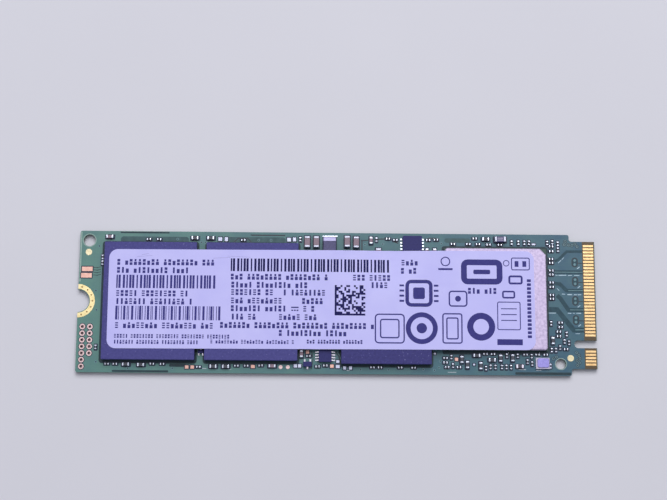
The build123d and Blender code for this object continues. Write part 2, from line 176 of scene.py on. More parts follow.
def solder_mask():
    """Green epoxy mask screened over woven glass laminate: satin and patchy, darker and bluer towards the
    contacts as a painted fall-off of the light, with the weave just felt. On the tongue beyond the mask and
    on cut sides the bare laminate shows, painted darker on the sides as shade."""
    mat, shader = plain_finish("solder_mask", "#44706A", roughness=0.38, specular=0.4)
    spot = place(mat)
    axes = add_node(mat, "ShaderNodeSeparateXYZ", {"Vector": spot})
    patches = add_node(mat, "ShaderNodeTexNoise", {"Vector": spot, "Scale": 1 / MASK_PATCH, "Detail": 5.0})
    along = add_node(
        mat, "ShaderNodeMapRange",
        {"Value": axes.outputs["X"], "From Min": BOARD_LEFT, "From Max": BOARD_RIGHT},
    )
    patches_and_falloff = add_node(
        mat, "ShaderNodeMath", {0: patches.outputs["Fac"], 1: along.outputs["Result"]}, operation="ADD",
    )
    # the patches and the share of the way along add up to between 0 and 2; the share along makes the mask
    # darker and bluer towards the contacts, a painted fall-off of the light
    green = two_tones(mat, patches_and_falloff.outputs[0], "#5A867E", "#2E5870", low=0.4, high=1.6)
    beyond_mask = add_node(
        mat, "ShaderNodeMath", {0: axes.outputs["X"], 1: MASK_END}, operation="GREATER_THAN",
    )
    face = add_node(
        mat, "ShaderNodeMix",
        {"Factor": beyond_mask.outputs[0], COLOUR_A: green, COLOUR_B: linear("#57452A")}, data_type="RGBA",
    )
    # the plies of the laminate are streaks along every cut side, in tones painted darker as shade on the
    # sides
    facing = add_node(mat, "ShaderNodeNewGeometry", {})
    normal = add_node(mat, "ShaderNodeSeparateXYZ", {"Vector": facing.outputs["True Normal"]})
    upright = add_node(mat, "ShaderNodeMath", {0: normal.outputs["Z"]}, operation="ABSOLUTE")
    side = add_node(mat, "ShaderNodeMath", {0: upright.outputs[0], 1: SIDE_LEAN}, operation="LESS_THAN")
    plies = add_node(
        mat, "ShaderNodeTexWave",
        {"Vector": spot, "Scale": WAVE_REPEAT / GLASS_PLY, "Distortion": 1.2}, bands_direction="Z",
    )
    laminate = two_tones(mat, plies.outputs["Fac"], "#55685F", "#788C82", low=0.0, high=1.0)
    board = add_node(
        mat, "ShaderNodeMix",
        {"Factor": side.outputs[0], COLOUR_A: face.outputs[COLOUR_OUT], COLOUR_B: laminate}, data_type="RGBA",
    )
    bundles = {"Vector": spot, "Scale": WAVE_REPEAT / GLASS_BUNDLE}
    warp = add_node(mat, "ShaderNodeTexWave", bundles, bands_direction="X")
    weft = add_node(mat, "ShaderNodeTexWave", bundles, bands_direction="Y")
    weave = add_node(
        mat, "ShaderNodeMath", {0: warp.outputs["Fac"], 1: weft.outputs["Fac"]}, operation="MULTIPLY",
    )
    lift = add_node(
        mat, "ShaderNodeBump", {"Height": weave.outputs[0], "Strength": 0.25, "Distance": WEAVE_DEPTH * MM},
    )
    set_inputs(mat, shader, {"Base Color": board.outputs[COLOUR_OUT], "Normal": lift.outputs["Normal"]})
    return mat


mask = solder_mask()
# mask straight on the laminate: dark, because no copper shines through it, and darkened further as painted
# shade for the fields beside the packages
open_mask_darkened_as_shade = cloudy_finish(
    "mask_without_copper_darkened_as_shade", "#1D3A43", "#142C35", grain=0.8, roughness=0.4, specular=0.3, bump=0.004,
)
# mask on laminate in the windows of a copper field: a greyer green, lit by the copper beside it
thin_mask = cloudy_finish(
    "mask_over_laminate", "#416166", "#335156", grain=0.8, roughness=0.4, specular=0.3, bump=0.004,
)
# mask in the lanes that lead to the contacts: a deep blue-green
lane_mask = cloudy_finish(
    "mask_in_a_lane", "#234B59", "#163947", grain=0.7, roughness=0.4, specular=0.3, bump=0.004,
)
# mask in a narrow cut between copper fields: dark for want of copper below, and painted almost black as shade
trench_mask_painted_shade = cloudy_finish("mask_in_a_trench_painted_shade", "#142A38", "#0C1D29", grain=0.5, roughness=0.4)
# mask over raised copper: lighter and a little glossier
covered_copper = cloudy_finish(
    "mask_over_copper", "#68949E", "#507882", grain=0.6, roughness=0.3, bump=0.004,
)
# a painted glint along the edge of a copper field: a bright line
painted_glint_mask = cloudy_finish(
    "painted_glint_on_a_copper_edge", "#C4DDEC", "#94B3C6", grain=0.35, roughness=0.3, bump=0.004,
)
# mask round the soldered parts: dark where its clearance leaves no copper below, and darkened further as
# painted shade round the parts, with a slight gloss
clearance_and_painted_shade = cloudy_finish(
    "mask_clearance_and_painted_shade", "#21304A", "#152139", grain=0.4, roughness=0.36, specular=0.3, bump=0.004,
)
# glass laminate laid bare by the drill: pale, dry fibres, drawn coarse
bare_laminate = cloudy_finish("bare_laminate", "#9EB8B0", "#87A29A", grain=0.3, roughness=0.5)
# white epoxy ink screened on the mask: chalky, with its grit drawn coarse
print_ink = cloudy_finish("component_print_ink", "#BCC7D1", "#ABB6C0", grain=0.2, roughness=0.6)


# finishes of the metals

# hard gold plated over nickel: a warm, soft mirror with faint clouds
contact_gold = cloudy_finish(
    "gold_plate", "#DABB8C", "#C7A472", grain=0.9, roughness=0.38, metallic=1.0, bump=0.004,
)
# gold plate rubbed by screw heads: paler and uneven
ring_gold = cloudy_finish(
    "rubbed_gold_plate", "#DDCE9F", "#CBBA88", grain=0.7, roughness=0.4, metallic=1.0, bump=0.006,
)
# gold flashed thin over nickel: the nickel below pales it
pale_gold = cloudy_finish(
    "thin_gold_plate", "#D1C8A8", "#BDB18D", grain=0.4, roughness=0.36, metallic=0.8, bump=0.004,
)
# bare copper under a clear preservative: pink, with a dull shine
land_copper = cloudy_finish(
    "bare_copper", "#E3B9AB", "#D2A294", grain=0.5, roughness=0.42, metallic=0.5, bump=0.005,
)
# copper tarnished in the mouths of small holes: brown and dull
hole_mouth = cloudy_finish(
    "tarnished_copper", "#987648", "#7E5D32", grain=0.1, roughness=0.5, metallic=0.5,
)
# tin levelled by hot air over copper: the copper tints it pink, and its crystals are drawn coarse
sleeve_tin = cloudy_finish(
    "tin_over_copper", "#D9C3C2", "#BFA2A2", grain=0.2, roughness=0.38, metallic=0.7, bump=0.015,
)
# matt tin plated on formed leads: a grey, soft mirror with its crystals drawn coarse
lead_tin = cloudy_finish(
    "matt_tin", "#D6D2DC", "#B9B4C3", grain=0.18, roughness=0.3, metallic=1.0, bump=0.02,
)
# tin plated thick on the ends of the inductor: pale and nearly matt, with its crystals drawn coarse
dull_tin = cloudy_finish(
    "dull_tin", "#BDB9E0", "#A9A5CE", grain=0.2, roughness=0.5, metallic=0.4, bump=0.01,
)
# tin plated on the fired ends of the larger capacitors: a grey satin, with its crystals drawn coarse
cap_tin = cloudy_finish(
    "plated_tin", "#B7B9C8", "#9DA0B0", grain=0.2, roughness=0.36, metallic=0.9, bump=0.02,
)
# solder that has flowed and set: bright and slightly rippled
solder = cloudy_finish(
    "reflowed_solder", "#DEE4F0", "#C3CADA", grain=0.3, roughness=0.24, metallic=1.0, bump=0.03,
)
# solder dulled on lands that carry no part: pale and lumpy
land_solder = cloudy_finish(
    "dull_solder", "#D2D7EA", "#AEB3CB", grain=0.25, roughness=0.44, metallic=0.5, bump=0.03,
)
# nickel plated on a stamped lid: a cloudy satin, smoother where it was rubbed, with its grain drawn coarse
lid_nickel = cloudy_finish(
    "nickel_plate", "#CCBEDC", "#A699BA", grain=0.4, roughness=0.45, metallic=0.4, bump=0.012, wear=0.11,
)
# rolled alloy welded over the crystal: a smooth satin, its blue a painted reflection of the room
can_metal = cloudy_finish(
    "crystal_can_metal", "#9C95DC", "#8B84CC", grain=0.3, roughness=0.4, metallic=0.3, bump=0.004,
)


# finishes of the packages and chips

EPOXY_GRIT = 0.35
GRIT_DEPTH = 0.012
DUST_SPECK = 0.3
# a package's laminate carrier ends at this height
CARRIER_TOP = 1.28


def moulded_package(name, light, dark):
    """Black epoxy moulded over a green laminate carrier: matt and gritty, with a little dust, and with the
    carrier's edge below. Its violet-blue is a painted reflection of a blue room on the black epoxy. The grit
    and the dust are drawn coarse."""
    mat, shader = plain_finish(name, light, roughness=0.6, specular=0.3)
    spot = place(mat)
    grit = add_node(mat, "ShaderNodeTexNoise", {"Vector": spot, "Scale": 1 / EPOXY_GRIT, "Detail": 6.0})
    epoxy = two_tones(mat, grit.outputs["Fac"], dark, light)
    dust = add_node(mat, "ShaderNodeTexNoise", {"Vector": spot, "Scale": 1 / DUST_SPECK, "Detail": 1.0})
    specks = add_node(
        mat, "ShaderNodeMapRange",
        {"Value": dust.outputs["Fac"], "From Min": 0.68, "From Max": 0.78, "To Max": 0.5},
    )
    dusty = add_node(
        mat, "ShaderNodeMix",
        {"Factor": specks.outputs["Result"], COLOUR_A: epoxy, COLOUR_B: linear("#8C8AC4")}, data_type="RGBA",
    )
    axes = add_node(mat, "ShaderNodeSeparateXYZ", {"Vector": spot})
    carrier = add_node(mat, "ShaderNodeMath", {0: axes.outputs["Z"], 1: CARRIER_TOP}, operation="LESS_THAN")
    package = add_node(
        mat, "ShaderNodeMix",
        {"Factor": carrier.outputs[0], COLOUR_A: dusty.outputs[COLOUR_OUT], COLOUR_B: linear("#2F4A42")},
        data_type="RGBA",
    )
    lift = add_node(
        mat, "ShaderNodeBump", {"Height": grit.outputs["Fac"], "Strength": 0.4, "Distance": GRIT_DEPTH * MM},
    )
    set_inputs(mat, shader, {"Base Color": package.outputs[COLOUR_OUT], "Normal": lift.outputs["Normal"]})
    return mat


flash_epoxy = moulded_package("flash_moulding_epoxy", "#4B498D", "#3F3E7E")
# the cache's epoxy is a darker copy of the flash's: painted shade where the light falls off towards the right
cache_epoxy_in_painted_shade = moulded_package("cache_moulding_epoxy_in_painted_shade", "#3C3A7C", "#312F6C")
# epoxy moulded in a polished tool: darker and smoother than the large packages, with its grit drawn coarse
small_epoxy = cloudy_finish(
    "small_package_epoxy", "#2E2E6C", "#262660", grain=0.2, roughness=0.5, specular=0.25, bump=0.008,
)
# green laminate, sawn: dull, with its fibres drawn coarse
carrier_edge = cloudy_finish(
    "carrier_laminate", "#35524A", "#28413A", grain=0.3, roughness=0.5, bump=0.004,
)
# ground silicon: dark, even and smooth
die_silicon = cloudy_finish("silicon", "#5F616B", "#555760", grain=1.5, roughness=0.25)
# clear epoxy cast over a lamp's chip: glossy and dark inside
lamp_resin = cloudy_finish("clear_resin", "#55535F", "#3F3D4B", grain=0.15, roughness=0.2)
# barium titanate, fired: a matt brown with a violet tinge, and its grain drawn coarse
tan_ceramic = cloudy_finish(
    "barium_titanate_ceramic", "#967F8D", "#7D6A79", grain=0.12, roughness=0.5, bump=0.004,
)
# chip ceramic under a dark glaze: nearly black and satin, with its grain drawn coarse
dark_ceramic = cloudy_finish(
    "glazed_chip_ceramic", "#3F4352", "#292C39", grain=0.1, roughness=0.4, bump=0.003,
)
# ferrite powder, pressed and fired: dark, dry and grainy, with its grain drawn coarse
ferrite = cloudy_finish("pressed_ferrite", "#57557F", "#47456C", grain=0.25, roughness=0.6, bump=0.012)
# alumina, fired: pale and even, with its grain drawn coarse
alumina = cloudy_finish("alumina", "#CBC5DA", "#B8B2CA", grain=0.2, roughness=0.5, bump=0.004)


# finishes of the label and the table

# coated paper: smooth, with the faintest clouds where it was pressed down
label_paper = cloudy_finish(
    "coated_label_paper", "#C9C7FF", "#C2C0FC", grain=3.2, roughness=0.45, specular=0.4, bump=0.006,
)
# ink printed on the coating: a dark violet-blue, with its mottle drawn coarse
label_ink = cloudy_finish("label_ink", "#3A3884", "#32307A", grain=0.4, roughness=0.5, specular=0.2)
# ink printed twice over: almost black, with its mottle drawn coarse
dense_ink = cloudy_finish("dense_label_ink", "#1F1D59", "#17154F", grain=0.4, roughness=0.5, specular=0.1)
# coating rubbed off the paper: greyer and dry
rubbed_paper = cloudy_finish("rubbed_label_paper", "#B2AFE2", "#A3A0D5", grain=0.5, roughness=0.6)
# painted table top: pale, matt and even
table_paint = cloudy_finish("pale_table", "#DADAE3", "#D8D8E1", grain=30.0, roughness=0.7)


# the solids in their finishes

dressing = {
    mask: ["circuit_board"],
    contact_gold: ["edge_contacts_top", "edge_contacts_bottom"],
    ring_gold: ["mount_rings"],
    pale_gold: ["gold_dots"],
    land_copper: ["copper_pads"],
    sleeve_tin: ["header_sleeves"],
    lead_tin: ["switch_leads", "transistor_leads", "lamp_caps"],
    dull_tin: ["inductor_caps"],
    land_solder: ["solder_pads"],
    cap_tin: ["end_caps_0603"],
    solder: [
        "end_caps_0402", "end_caps_0201", "regulator_lands",
        "flash_balls", "cache_balls", "controller_balls",
    ],
    flash_epoxy: ["flash_left", "flash_right"],
    cache_epoxy_in_painted_shade: ["cache_memory"],
    small_epoxy: ["regulator_body", "switch_body", "transistors"],
    carrier_edge: ["controller_carrier"],
    die_silicon: ["controller_die"],
    lid_nickel: ["controller_lid"],
    can_metal: ["crystal_lid"],
    tan_ceramic: ["capacitors_0603", "capacitors_0402"],
    dark_ceramic: ["resistors_0402", "chips_0201"],
    ferrite: ["inductor_core", "ferrite_bead"],
    alumina: ["crystal_base"],
    lamp_resin: ["lamp_body"],
    label_paper: ["label"],
}
for coat, names in dressing.items():
    for name in names:
        mesh = frame["nodes"][name].data
        mesh.materials.clear()
        mesh.materials.append(coat)

# how wide each solid's edges are broken, so that they catch the light
WELD_REACH = 0.0005
SHARP_EDGE = math.radians(40)
edge_widths = {
    0.012: ["edge_contacts_top", "copper_pads"],
    0.015: ["chips_0201"],
    0.02: [
        "capacitors_0402", "resistors_0402", "regulator_lands",
        "switch_leads", "transistor_leads", "crystal_lid",
    ],
    0.025: ["solder_pads"],
    0.03: ["capacitors_0603", "ferrite_bead", "lamp_body"],
    0.04: [
        "controller_lid", "end_caps_0201", "regulator_body",
        "switch_body", "transistors", "crystal_base", "lamp_caps",
    ],
    0.05: ["flash_left", "flash_right", "cache_memory"],
    0.06: ["end_caps_0402", "inductor_core", "inductor_caps"],
    0.07: ["end_caps_0603"],
    0.08: ["circuit_board"],
    0.11: ["flash_balls", "cache_balls", "controller_balls"],
}
for width, names in edge_widths.items():
    for name in names:
        node = frame["nodes"][name]
        weld = node.modifiers.new("weld", "WELD")
        weld.merge_threshold = WELD_REACH * MM
        bevel = node.modifiers.new("edge", "BEVEL")
        bevel.width = width * MM
        bevel.segments = 2
        bevel.limit_method = "ANGLE"
        bevel.angle_limit = SHARP_EDGE


# flat shapes, each a function that draws the shape at a height in edit mode

CORNER_STEPS = 4
FEWEST_SIDES, MOST_SIDES, SIDES_PER_MM = 20, 64, 30


def hollow(rim):
    """Leaves only the outline of the selected shape."""
    bpy.ops.mesh.inset(thickness=rim * MM)
    bpy.ops.mesh.delete(type="FACE")


def bar(x, y, length, width, turn=0.0, rim=0.0, corner=0.0):
    """A bar about its middle, turned by some degrees. A rim leaves only an outline of that width."""
    def draw(z):
        centre = (x * MM, y * MM, z * MM)
        bpy.ops.mesh.primitive_plane_add(size=MM, location=centre)
        bpy.ops.transform.resize(value=(length, width, 1), center_override=centre)
        if turn:
            # without a window the operator turns clockwise
            bpy.ops.transform.rotate(value=-math.radians(turn), orient_axis="Z", center_override=centre)
        if corner:
            bpy.ops.mesh.bevel(offset=corner * MM, segments=CORNER_STEPS, affect="VERTICES")
            bpy.ops.mesh.select_linked()
        if rim:
            hollow(rim)
    return draw


def disc(x, y, radius, rim=0.0):
    """A disc about its middle. A rim leaves only a ring of that width."""
    def draw(z):
        bpy.ops.mesh.primitive_circle_add(
            vertices=max(FEWEST_SIDES, min(MOST_SIDES, int(radius * SIDES_PER_MM))), radius=radius * MM,
            fill_type="NGON", location=(x * MM, y * MM, z * MM),
        )
        if rim:
            hollow(rim)
    return draw


def cut_leg(x, y, z, away):
    """Cuts off what lies beyond a place in one direction, and selects the rest of the leg."""
    across = (math.cos(away), math.sin(away), 0)
    bpy.ops.mesh.bisect(plane_co=(x * MM, y * MM, z * MM), plane_no=across, clear_outer=True)
    bpy.ops.mesh.select_linked()


def line(points, width):
    """A line of even width through points. Each leg is a long bar, cut along the mitre at its bends."""
    legs = list(zip(points, points[1:]))
    turns = [math.atan2(y1 - y0, x1 - x0) for (x0, y0), (x1, y1) in legs]

    def draw(z):
        for step, ((x0, y0), (x1, y1)) in enumerate(legs):
            turn = turns[step]
            before = width if step > 0 else 0
            after = width if step < len(legs) - 1 else 0
            shift = (after - before) / 2
            leg = bar(
                (x0 + x1) / 2 + shift * math.cos(turn), (y0 + y1) / 2 + shift * math.sin(turn),
                math.hypot(x1 - x0, y1 - y0) + before + after, width, math.degrees(turn),
            )
            leg(z)
            if before:
                cut_leg(x0, y0, z, (turns[step - 1] + turn) / 2 + math.pi)
            if after:
                cut_leg(x1, y1, z, (turn + turns[step + 1]) / 2)
    return draw


# shapes of one piece that may overlap lie a hair apart in height, so that their faces don't coincide
HAIR = 0.0004
HAIR_LEVELS = 7


def flat_piece(name, shapes, base, thick, material):
    """One piece of flat shapes. Each shape becomes a thin closed plate that starts at the base height."""
    bpy.ops.object.select_all(action="DESELECT")
    bpy.ops.mesh.primitive_plane_add(size=1)
    piece = bpy.context.object
    piece.name = name
    bpy.ops.object.mode_set(mode="EDIT")
    bpy.ops.mesh.select_mode(type="VERT")
    bpy.ops.mesh.select_all(action="SELECT")
    bpy.ops.mesh.delete(type="VERT")
    for count, draw in enumerate(shapes):
        draw(base + HAIR * (count % HAIR_LEVELS))
    bpy.ops.mesh.select_all(action="SELECT")
    bpy.ops.mesh.remove_doubles(threshold=HAIR / 4 * MM)
    bpy.ops.object.mode_set(mode="OBJECT")
    plate = piece.modifiers.new("plate", "SOLIDIFY")
    plate.thickness = thick * MM
    plate.offset = 1.0
    bpy.ops.object.modifier_apply(modifier="plate")
    piece.data.materials.append(material)
    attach(piece, "root")
    return piece


# the label hangs a little where no package carries it, and its print hangs with it

FLASH_END = span("flash_right", X)[1]
CACHE_START = span("cache_memory", X)[0]
CACHE_REAR = span("cache_memory", Y)[1]
CONTROLLER_START = span("controller_lid", X)[0]
INDUCTOR_LEFT, INDUCTOR_RIGHT = span("inductor_caps", X)
# the label's rear edge is slightly askew, and lies about here
LABEL_REAR = 8.0
HANG_BEHIND_CACHE = 0.36
HANG_BESIDE_INDUCTOR = 0.08
HANG_BESIDE_CACHE = 0.1


def swell(value, start, end):
    """A smooth hump between two places, 0 at both and 1 halfway."""
    share = min(1.0, max(0.0, (value - start) / (end - start)))
    return 0.5 - 0.5 * math.cos(2 * math.pi * share)


def hang(x, y):
    """How far the label hangs at a place."""
    free = min(1.0, max(0.0, (y - CACHE_REAR) / (LABEL_REAR - CACHE_REAR)))
    ease = free * free * (3 - 2 * free)
    rear = HANG_BEHIND_CACHE * swell(x, INDUCTOR_RIGHT, CONTROLLER_START)
    rear += HANG_BESIDE_INDUCTOR * swell(x, FLASH_END, INDUCTOR_LEFT)
    front = HANG_BESIDE_CACHE * swell(x, FLASH_END, CACHE_START)
    return ease * rear + (1 - ease) * front


# the label and its print are cut along one grid, so that they hang alike
HANG_STEP_X, HANG_STEPS_X = 0.98, 24
HANG_STEP_Y, HANG_STEPS_Y = 1.0, 16
HANG_REAR = LABEL_REAR - HANG_STEP_Y / 2
hang_planes = [((FLASH_END + step * HANG_STEP_X, 0, 0), (1, 0, 0)) for step in range(HANG_STEPS_X)]
hang_planes += [((0, HANG_REAR - step * HANG_STEP_Y, 0), (0, 1, 0)) for step in range(HANG_STEPS_Y)]


def drape(piece):
    """Cuts a piece of the label along the grid and lets it hang."""
    bpy.ops.object.select_all(action="DESELECT")
    piece.select_set(True)
    bpy.context.view_layer.objects.active = piece
    bpy.ops.object.mode_set(mode="EDIT")
    for spot, across in hang_planes:
        bpy.ops.mesh.select_all(action="SELECT")
        bpy.ops.mesh.bisect(plane_co=[c * MM for c in spot], plane_no=across)
    bpy.ops.object.mode_set(mode="OBJECT")
    for vertex in piece.data.vertices:
        vertex.co.z -= hang(vertex.co.x / MM, vertex.co.y / MM) * MM


# the sheet is a copy of the flat label, with its loose triangles merged into whole faces
FLAT_ANGLE = math.radians(1)
bpy.ops.object.select_all(action="DESELECT")
label_node = frame["nodes"]["label"]
label_node.select_set(True)
bpy.context.view_layer.objects.active = label_node
bpy.ops.object.duplicate()
label_sheet = bpy.context.object
label_sheet.name = "label_sheet"
bpy.ops.object.mode_set(mode="EDIT")
bpy.ops.mesh.select_all(action="SELECT")
bpy.ops.mesh.remove_doubles(threshold=HAIR * MM)
bpy.ops.mesh.dissolve_limited(angle_limit=FLAT_ANGLE)
bpy.ops.object.mode_set(mode="OBJECT")
drape(label_sheet)
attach(label_sheet, "root")
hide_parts("label")


# the label's print: plain bars, cells, small blocks, rings and frames

INK_THICK = 0.008
RUB_THICK = 0.004
NARROW_BAR = 0.11


def label_print(name, shapes, thick, ink):
    """A piece of print that lies on the label and hangs with it."""
    drape(flat_piece(name, shapes, LABEL_TOP, thick, ink))


def bar_strip(left, right, low, high, seed):
    """A strip of upright bars. Bars and spaces are one, two or three narrow bars wide."""
    shapes, x, step = [], left, 0
    while x < right - NARROW_BAR:
        wide = NARROW_BAR * (1 + (step * step * 7 + step * 3 + seed) % 3)
        wide = min(wide, right - x)
        shapes.append(bar(x + wide / 2, (low + high) / 2, wide, high - low))
        x += wide + NARROW_BAR * (1 + (step * 5 + seed * 3 + step // 3) % 3)
        step += 1
    return shapes


strips = bar_strip(-34.0, -18.5, 1.85, 3.9, seed=1)
strips += bar_strip(-34.0, -17.7, -3.05, -0.9, seed=2)
label_print("label_bar_strips", strips, INK_THICK, label_ink)
long_strip = bar_strip(-16.5, 7.9, 4.6, 6.6, seed=4)
label_print("label_long_strip", long_strip, INK_THICK, dense_ink)

# a square block of cells, with a full row and a full column along two of its sides
BLOCK_SIZE = 4.7
BLOCK_LEFT, BLOCK_LOW = -0.45, -2.13
CELLS_ACROSS = 16
cell = BLOCK_SIZE / CELLS_ACROSS
cells = [
    bar(BLOCK_LEFT + cell / 2, BLOCK_LOW + BLOCK_SIZE / 2, cell, BLOCK_SIZE),
    bar(BLOCK_LEFT + BLOCK_SIZE / 2, BLOCK_LOW + cell / 2, BLOCK_SIZE, cell),
]
for column in range(1, CELLS_ACROSS):
    for row in range(1, CELLS_ACROSS):
        if (column * column * 3 + row * 7 + column * row * 5 + (column * row) // 3) % 7 < 3:
            x = BLOCK_LEFT + (column + 0.5) * cell
            y = BLOCK_LOW + (row + 0.5) * cell
            cells.append(bar(x, y, cell, cell))
label_print("label_cell_block", cells, INK_THICK, dense_ink)

# small blocks that fill one place in a line: offset, width and height, as shares of the line's height
BLOCKS = [
    [(0.27, 0.46, 0.42), (-0.27, 0.46, 0.42)],
    [(0.0, 0.3, 0.96)],
    [(0.36, 0.46, 0.2), (0.0, 0.46, 0.2), (-0.36, 0.46, 0.2)],
    [(0.3, 0.3, 0.36), (-0.22, 0.48, 0.52)],
    [(-0.12, 0.46, 0.7)],
]
# the pitch is a share of the line's height, and the other two are shares of the pitch
BLOCK_PITCH = 0.71
GROUP_SPACE = 0.8
BLOCK_MIDDLE = 0.4


def dash_line(left, right, y, height, seed):
    """A line of small blocks, in groups."""
    shapes, x, step = [], left, seed
    pitch = height * BLOCK_PITCH
    while x < right - pitch / 2:
        if (step * 7 + seed * 3) % 8 == 7:
            x += pitch * GROUP_SPACE
        for shift, wide, tall in BLOCKS[(step * step + step * 3 + seed) % len(BLOCKS)]:
            shapes.append(bar(x + pitch * BLOCK_MIDDLE, y + shift * height, wide * height, tall * height))
        x += pitch
        step += 1
    return shapes


# each line's left end, its right end and how far back on the label it lies
LARGE_HEIGHT, SMALL_HEIGHT = 0.95, 0.62
large_lines = [
    (-34.0, -18.8, 5.9), (-34.0, -22.5, 4.65), (-34.0, -22.8, 1.05), (-34.0, -22.3, -0.2),
    (-34.0, -19.0, -3.9), (-16.5, -1.2, 3.75), (-16.4, -4.8, 2.5), (-16.4, -10.0, 1.35),
    (-8.4, -1.7, 1.35), (-16.4, -8.4, 0.05), (-5.5, -2.2, 0.05), (-16.4, -7.7, -1.15),
    (-5.3, -3.2, -1.15), (-16.3, -12.3, -2.45), (-9.0, -3.3, -2.45), (-18.0, 4.9, -3.75),
    (-9.0, 1.6, -4.9), (2.3, 7.9, 3.75), (5.1, 7.9, 2.6), (9.8, 12.7, 6.2),
    (9.7, 12.1, 4.9), (20.0, 24.5, 1.85),
]
small_lines = [(-34.1, -16.3, -5.55), (-34.1, -21.0, -6.45), (-19.4, -7.1, -6.3), (-4.7, 3.9, -6.2)]
dashes = []
for count, (left, right, y) in enumerate(large_lines):
    dashes += dash_line(left, right, y, LARGE_HEIGHT, count)
for count, (left, right, y) in enumerate(small_lines):
    dashes += dash_line(left, right, y, SMALL_HEIGHT, count + 2)
label_print("label_dashes", dashes, INK_THICK, label_ink)

# rubs near the rear edge
rubs = [
    line([(-31.0, 6.75), (-28.6, 6.95)], 0.06),
    line([(-30.2, 7.05), (-29.2, 7.25)], 0.07),
    line([(-19.2, 6.6), (-16.6, 6.75)], 0.07),
    line([(-17.0, 6.95), (-13.5, 6.8)], 0.06),
]
label_print("label_rubs", rubs, RUB_THICK, rubbed_paper)

# plain rings, frames and fields in the right-hand part
fields = [
    bar(12.5, 1.4, 4.2, 4.2, rim=0.55, corner=0.9), bar(12.5, 1.4, 1.8, 1.8, corner=0.3),
    bar(18.5, 0.6, 2.9, 2.5, rim=0.22, corner=0.5), disc(18.5, 0.6, 0.45),
    bar(8.0, -4.1, 4.6, 4.6, rim=0.2, corner=0.6), bar(8.0, -4.1, 3.0, 3.0, rim=0.2, corner=0.4),
    disc(12.9, -4.0, 2.45, rim=0.75), disc(12.9, -4.0, 0.8),
    bar(17.6, -4.0, 3.1, 4.7, rim=0.2, corner=0.4), bar(17.6, -4.0, 1.9, 3.4, rim=0.2, corner=0.3),
    disc(22.0, -3.7, 2.15, rim=0.95),
    bar(22.2, 4.8, 6.4, 3.9, rim=0.9, corner=1.0), bar(22.2, 4.8, 2.6, 0.7, corner=0.2),
    disc(16.6, 6.4, 0.75, rim=0.16), bar(16.6, 5.2, 2.2, 0.3), disc(26.0, 6.2, 0.5, rim=0.12),
    bar(28.2, 6.1, 2.9, 2.0, rim=0.15, corner=0.3), bar(27.6, 6.1, 0.6, 0.9), bar(28.8, 6.1, 0.6, 0.9),
    bar(27.4, 3.6, 2.2, 1.4, rim=0.3, corner=0.35), bar(26.3, 1.3, 2.0, 1.2, rim=0.25, corner=0.3),
    bar(26.3, -2.0, 3.6, 4.4, rim=0.14, corner=0.3), bar(26.3, -0.9, 2.4, 0.14),
    bar(26.3, -1.8, 2.4, 0.14), bar(26.3, -2.7, 2.4, 0.14), bar(26.4, -6.05, 3.9, 0.9),
    bar(-6.55, -0.95, 1.15, 0.2), bar(-6.95, -1.4, 0.28, 0.2),
    bar(-6.55, -1.4, 0.28, 0.2), bar(-6.15, -1.4, 0.28, 0.2),
]
fields += [bar(x, 2.6 - 0.8 * row, 0.7, 0.3) for row in range(4) for x in (9.85, 15.15)]
fields += [bar(29.45, 3.5 - 0.62 * row, 0.62, 0.42, corner=0.08) for row in range(15)]
label_print("label_fields", fields, INK_THICK, label_ink)


# the board's copper, as it shows through the mask
# It is drawn as plates a few thousandths thick. Plates of different pieces that overlap end at different
# heights, so that their faces don't coincide.

WINDOW_THICK = 0.0025
FIELD_THICK = 0.004
FIELD_TOP = BOARD_TOP + FIELD_THICK
SURROUND_THICK = 0.004
CUT_THICK = 0.005
GLINT_THICK = 0.006
TRACE_THICK = 0.007


def mask_piece(name, shapes, base, thick, coat):
    """A piece of the board's mask."""
    flat_piece(name, shapes, base, thick, coat)


# fields with no copper: under the packages and along the edges; beside the packages their darkness is partly
# painted shade
gaps = [
    bar(-29.0, -0.1, 15.0, 19.0, corner=0.5), bar(-13.2, -0.1, 14.8, 19.0, corner=0.5),
    bar(7.5, -4.3, 14.5, 11.3, corner=0.4), bar(24.4, 0.6, 16.5, 16.9, corner=0.4),
    bar(-30.1, -10.78, 8.6, 0.3, corner=0.12), bar(31.6, -10.7, 8.6, 0.4, corner=0.15),
    bar(-30.0, 10.8, 7.6, 0.24, corner=0.1), bar(-10.9, 10.55, 5.4, 0.16, corner=0.06),
    bar(-24.4, -9.85, 2.6, 0.45, corner=0.2),
]
mask_piece("copper_gaps", gaps, BOARD_TOP, FIELD_THICK, open_mask_darkened_as_shade)

# lanes that lead to the contacts, and the fields round the pairs of stitches between them
stitch_pairs = [(36.86, 6.65), (36.86, 3.62), (36.81, 0.62), (36.84, -2.37)]
lanes = [
    line([(33.75, 6.8), (34.3, 7.05), (35.65, 8.35), (MASK_END, 8.37)], 0.42),
    line([(33.7, 5.1), (MASK_END, 5.1)], 0.62),
    line([(33.7, 3.28), (34.45, 3.25), (35.5, 2.2), (MASK_END, 2.2)], 0.58),
    line([(34.0, 1.45), (34.5, 0.98), (35.7, -0.82), (MASK_END, -0.82)], 0.66),
    line([(32.7, -0.75), (33.95, -0.8), (36.45, -3.93), (MASK_END, -3.93)], 0.78),
]
lanes += [bar(x, y, 0.95, 1.5, corner=0.45) for x, y in stitch_pairs]
mask_piece("contact_lanes", lanes, BOARD_TOP, FIELD_THICK, lane_mask)

# windows in the copper behind the packages
windows = [
    bar(-28.45, 9.65, 10.6, 1.05, corner=0.5),
    bar(-12.7, 9.7, 9.2, 1.05, corner=0.5),
    bar(18.6, 9.95, 4.0, 0.7, corner=0.3),
]
mask_piece("copper_windows", windows, BOARD_TOP, WINDOW_THICK, thin_mask)


# a dark surround for each soldered chip, land and sleeve: the mask's clearance, with painted shade round the
# parts

